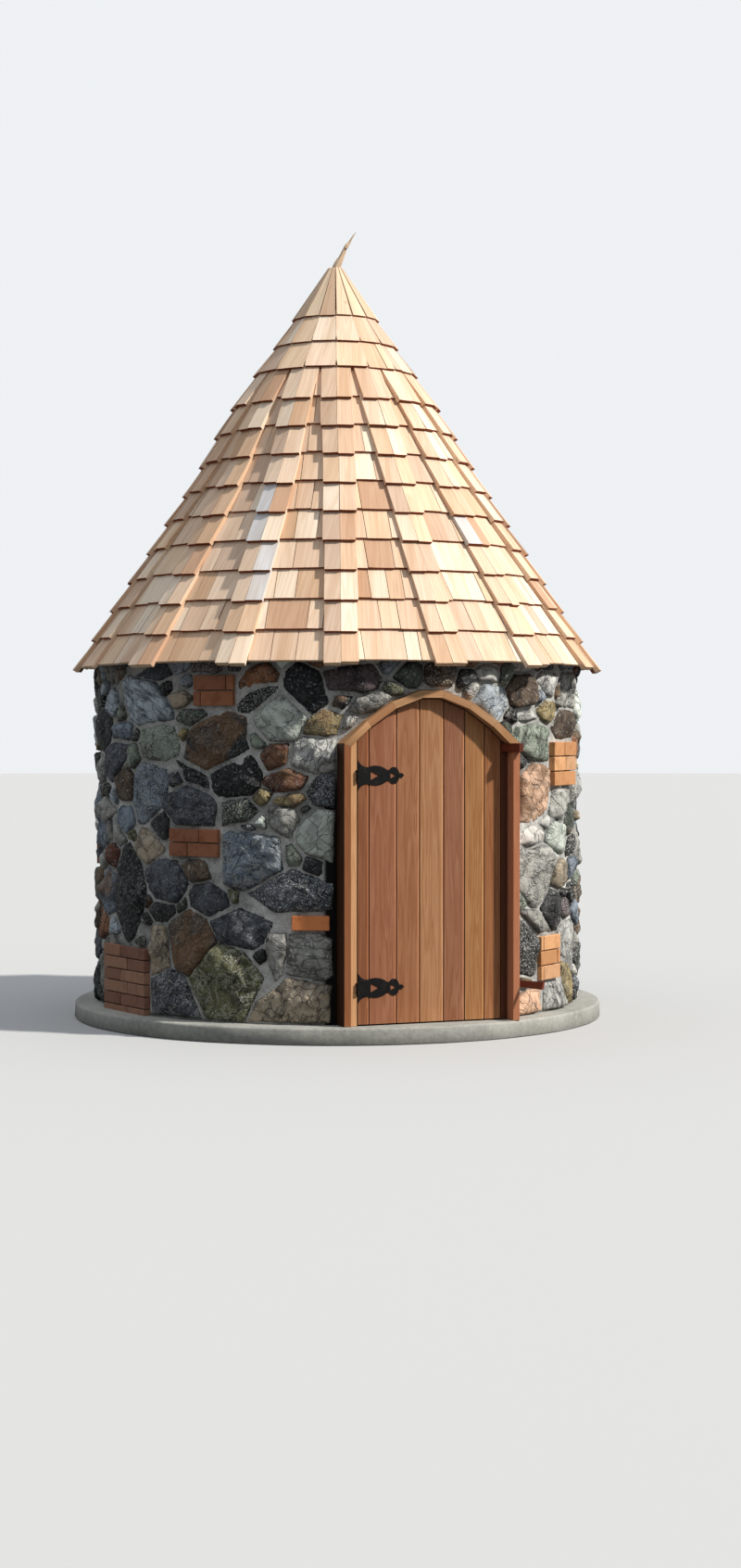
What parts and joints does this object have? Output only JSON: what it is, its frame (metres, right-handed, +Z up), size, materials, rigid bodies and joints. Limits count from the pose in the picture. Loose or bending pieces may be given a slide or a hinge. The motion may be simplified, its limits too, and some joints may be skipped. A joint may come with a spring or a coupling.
{
  "type": "round stone hut with a shingle roof",
  "caption": "Round rubble-stone garden hut with a steep conical shingle roof, a timber finial and an arched plank door on strap hinges.",
  "frame": {"origin": "middle of the slab's underside", "axes": "+Z up, the door faces -Y, +X to the right of someone who faces the door"},
  "size_m": [3.0198, 3.0198, 4.4965],
  "materials": {
    "concrete": "rough grey cast concrete",
    "stone": "mixed dark rubble stone in pale mortar with a few clay bricks",
    "cedar_shingle": "fresh split cedar",
    "finial_timber": "split timber",
    "roof_timber": "sawn softwood",
    "frame_timber": "planed cedar board",
    "door_timber": "oiled tongued and grooved cedar board",
    "black_iron": "satin black iron"
  },
  "bodies": {
    "hut": {"arch_head": "frame_timber", "finial": "finial_timber", "foundation_slab": "concrete", "head_block": "frame_timber", "jamb_left": "frame_timber", "jamb_right": "frame_timber", "king_block": "roof_timber", "liner_left": "frame_timber", "liner_right": "frame_timber", "pintle_lower": "black_iron", "pintle_upper": "black_iron", "rafters": "roof_timber", "roof_cap": "cedar_shingle", "roof_deck": "roof_timber", "shingle_course_01": "cedar_shingle", "shingle_course_02": "cedar_shingle", "shingle_course_03": "cedar_shingle", "shingle_course_04": "cedar_shingle", "shingle_course_05": "cedar_shingle", "shingle_course_06": "cedar_shingle", "shingle_course_07": "cedar_shingle", "shingle_course_08": "cedar_shingle", "shingle_course_09": "cedar_shingle", "shingle_course_10": "cedar_shingle", "shingle_course_11": "cedar_shingle", "shingle_course_12": "cedar_shingle", "wall_back_left": "stone", "wall_back_right": "stone", "wall_front_left": "stone", "wall_front_right": "stone", "wall_haunch_left": "stone", "wall_haunch_right": "stone", "wall_left_back": "stone", "wall_left_front": "stone", "wall_over_door": "stone", "wall_plate": "roof_timber", "wall_right_back": "stone", "wall_right_front": "stone"},
    "door": {"door_boards": "door_timber", "door_ledges": "door_timber", "strap_upper": "black_iron", "strap_lower": "black_iron"}
  },
  "joints": [
    {"name": "door_hinge", "type": "hinge", "parent": "hut", "child": "door", "pos_m": [-0.409, -1.3645, 0.75], "axis": [0, 0, -1], "range_deg": [0, 105]}
  ]
}
